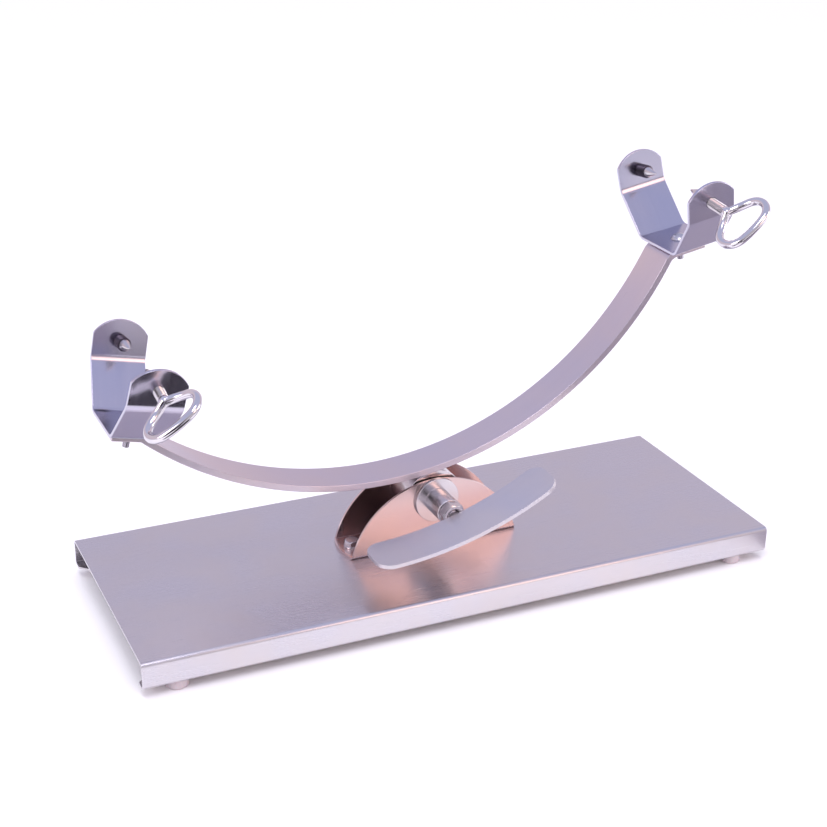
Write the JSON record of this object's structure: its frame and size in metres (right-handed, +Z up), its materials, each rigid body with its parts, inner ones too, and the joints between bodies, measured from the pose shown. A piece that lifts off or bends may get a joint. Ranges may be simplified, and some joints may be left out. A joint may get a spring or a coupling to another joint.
{
  "type": "tilting clamp stand",
  "caption": "Flat tray base with a bracket that carries a tilting curved strap, locked by a lever, with a clamp, a fixed point and a ring-handled screw at each end.",
  "frame": {"origin": "on the floor, under the middle of the base tray", "axes": "+X along the base towards the higher clamp, +Y from the lever side to the rear, +Z up"},
  "size_m": [0.5, 0.199, 0.2976],
  "materials": {
    "brushed_sheet": "folded stainless sheet, brushed along its length",
    "brushed_bracket": "folded stainless sheet, brushed along the channel",
    "brushed_bar": "stainless flat bar, bent and brushed along its length",
    "brushed_clamp": "folded stainless strip, brushed along its length",
    "turned_steel": "turned stainless bar",
    "polished_wire": "bent round wire, polished",
    "zinc_fixings": "plain stainless fasteners",
    "bush_bronze": "plain bearing bronze",
    "pale_rubber": "pale moulded rubber"
  },
  "bodies": {
    "base": {"base_plate": "brushed_sheet", "foot_front_left": "pale_rubber", "foot_front_right": "pale_rubber", "foot_rear_left": "pale_rubber", "foot_rear_right": "pale_rubber", "foot_screws": "zinc_fixings", "foot_nuts": "zinc_fixings", "pivot_bracket": "brushed_bracket", "bracket_bolts": "zinc_fixings", "bracket_washers": "zinc_fixings", "bracket_nuts": "zinc_fixings", "pivot_bolt": "turned_steel", "rear_washer": "turned_steel", "front_washer": "turned_steel", "spacer_sleeve": "turned_steel"},
    "cradle": {"arc_strap": "brushed_bar", "pivot_boss": "turned_steel", "pivot_bushes": "bush_bronze", "clamp_left": "brushed_clamp", "clamp_right": "brushed_clamp", "clamp_bolts": "zinc_fixings", "clamp_nuts": "zinc_fixings", "spike_left": "turned_steel", "spike_right": "turned_steel", "spike_nuts": "zinc_fixings", "weld_nuts": "zinc_fixings"},
    "lever": {"lever_nut": "turned_steel", "lever_bar": "brushed_bar"},
    "left_point": {"screw_point_left": "turned_steel"},
    "left_screw": {"screw_shaft_left": "turned_steel", "ring_left": "polished_wire"},
    "right_point": {"screw_point_right": "turned_steel"},
    "right_screw": {"screw_shaft_right": "turned_steel", "ring_right": "polished_wire"}
  },
  "joints": [
    {"name": "cradle_tilt", "type": "hinge", "parent": "base", "child": "cradle", "pos_m": [0, 0, 0.0655], "axis": [0, -1, 0], "range_deg": [-34.1, 16.7]},
    {"name": "lever_turn", "type": "hinge", "parent": "base", "child": "lever", "pos_m": [0, 0, 0.0655], "axis": [0, -1, 0], "range_deg": [-53.2, 20.8]},
    {"name": "left_point_travel", "type": "slide", "parent": "cradle", "child": "left_point", "axis": [-0.0237, -0.9936, -0.1107], "range_m": [-0.007, 0.013]},
    {"name": "left_screw_turn", "type": "hinge", "parent": "left_point", "child": "left_screw", "pos_m": [-0.21592, -0.04996, 0.19971], "axis": [-0.0237, -0.9936, -0.1107], "range_deg": [-2016, 3744]},
    {"name": "right_point_travel", "type": "slide", "parent": "cradle", "child": "right_point", "axis": [0.021, -0.9936, -0.1112], "range_m": [-0.012, 0.008]},
    {"name": "right_screw_turn", "type": "hinge", "parent": "right_point", "child": "right_screw", "pos_m": [0.20204, -0.04996, 0.28143], "axis": [0.021, -0.9936, -0.1112], "range_deg": [-3456, 2304]}
  ],
  "couplings": [
    {"joint": "left_point_travel", "follows": "left_screw_turn", "m_per_rad": 0.00019894},
    {"joint": "right_point_travel", "follows": "right_screw_turn", "m_per_rad": 0.00019894}
  ]
}
